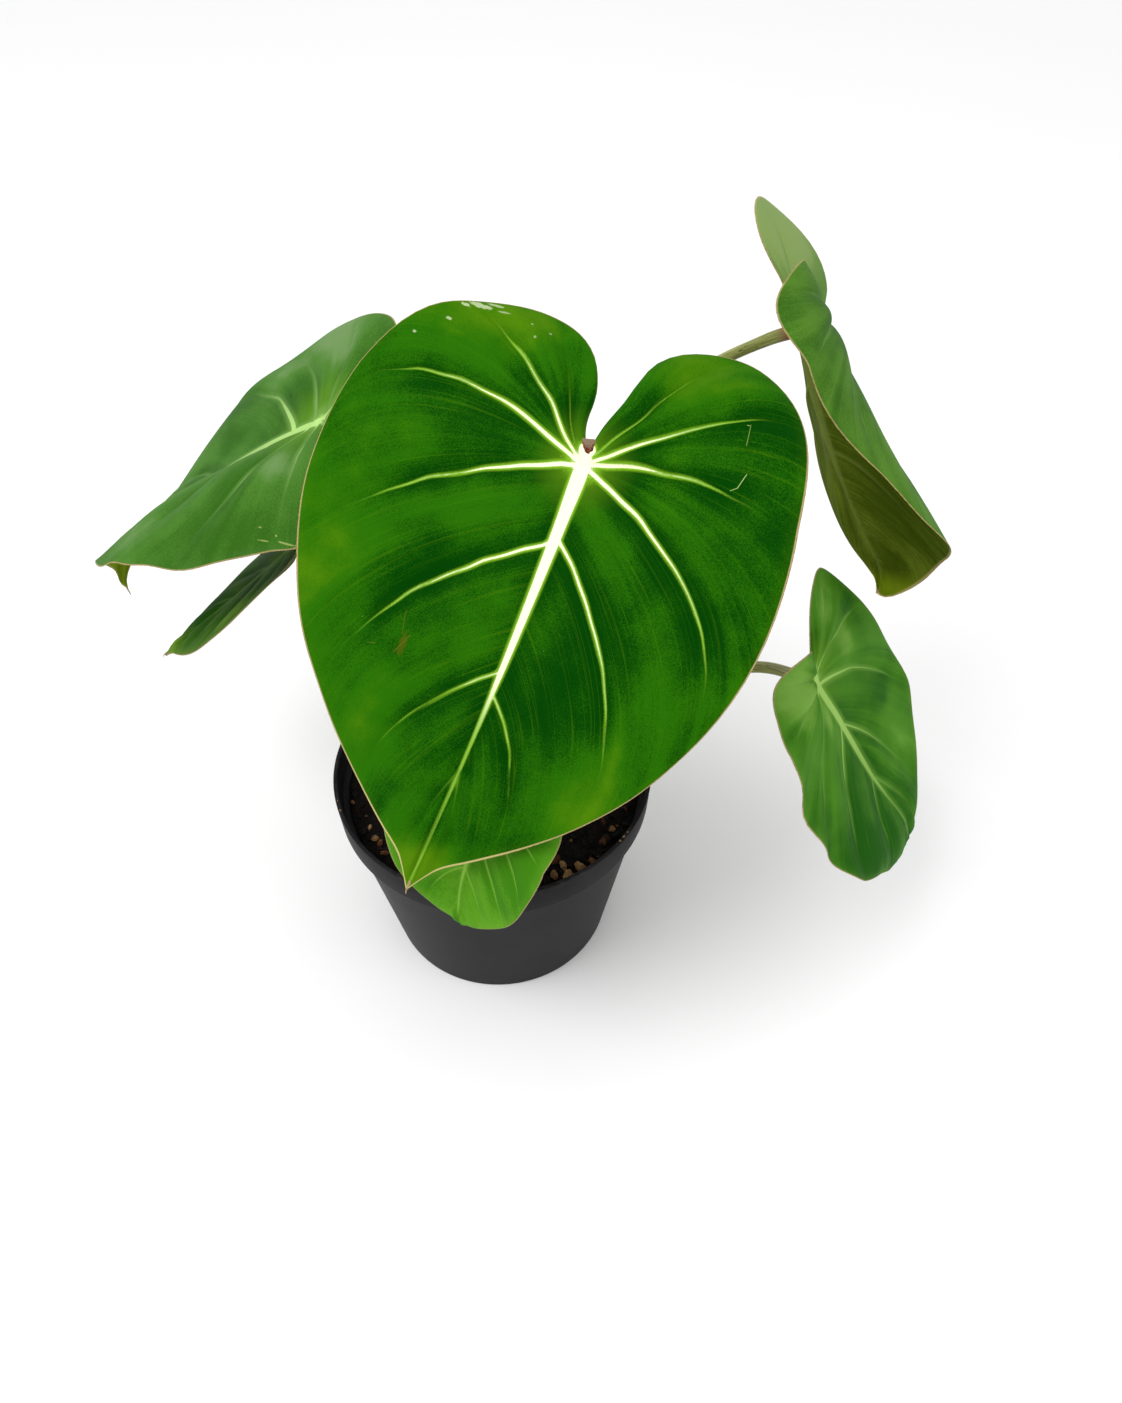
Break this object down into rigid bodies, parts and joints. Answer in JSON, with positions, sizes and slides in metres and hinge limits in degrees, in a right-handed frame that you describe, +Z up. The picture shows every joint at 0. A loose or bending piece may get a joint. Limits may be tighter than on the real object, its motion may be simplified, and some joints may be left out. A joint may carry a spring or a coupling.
{
  "type": "potted plant",
  "caption": "Potted philodendron gloriosum: velvety heart-shaped leaves with pale veins on long stalks from a creeping stem, in a round dark nursery pot.",
  "frame": {"origin": "centre of the pot's flat base, on the surface that it stands on", "axes": "+Z up, -Y towards the front where the largest leaf faces, +X to the right as seen from the front"},
  "size_m": [0.3669, 0.2633, 0.2993],
  "materials": {
    "pot_plastic": "dark charcoal moulded plastic with a soft satin sheen and light dust on the rim",
    "potting_mix": "dark moist potting mix with orange-brown bark crumbs",
    "creeping_stem": "olive green stem with brown papery scars",
    "leaf_stalk": "olive green stalk with fine pale streaks and brown flecks",
    "leaf_blade": "velvety deep green leaf with cream-white veins, a pale margin and a dull grey-green underside",
    "young_leaf": "bright yellow-green young leaf with pale green veins"
  },
  "bodies": {
    "root": {"pot": "pot_plastic", "soil": "potting_mix", "rhizome": "creeping_stem", "petiole_front": "leaf_stalk", "blade_front": "leaf_blade", "petiole_back_left": "leaf_stalk", "blade_back_left": "leaf_blade", "petiole_low_left": "leaf_stalk", "blade_low_left": "leaf_blade", "petiole_right_top": "leaf_stalk", "blade_right_top": "leaf_blade", "petiole_right_low": "leaf_stalk", "blade_right_low": "leaf_blade", "petiole_pot_front": "leaf_stalk", "blade_pot_front": "young_leaf"}
  },
  "joints": []
}
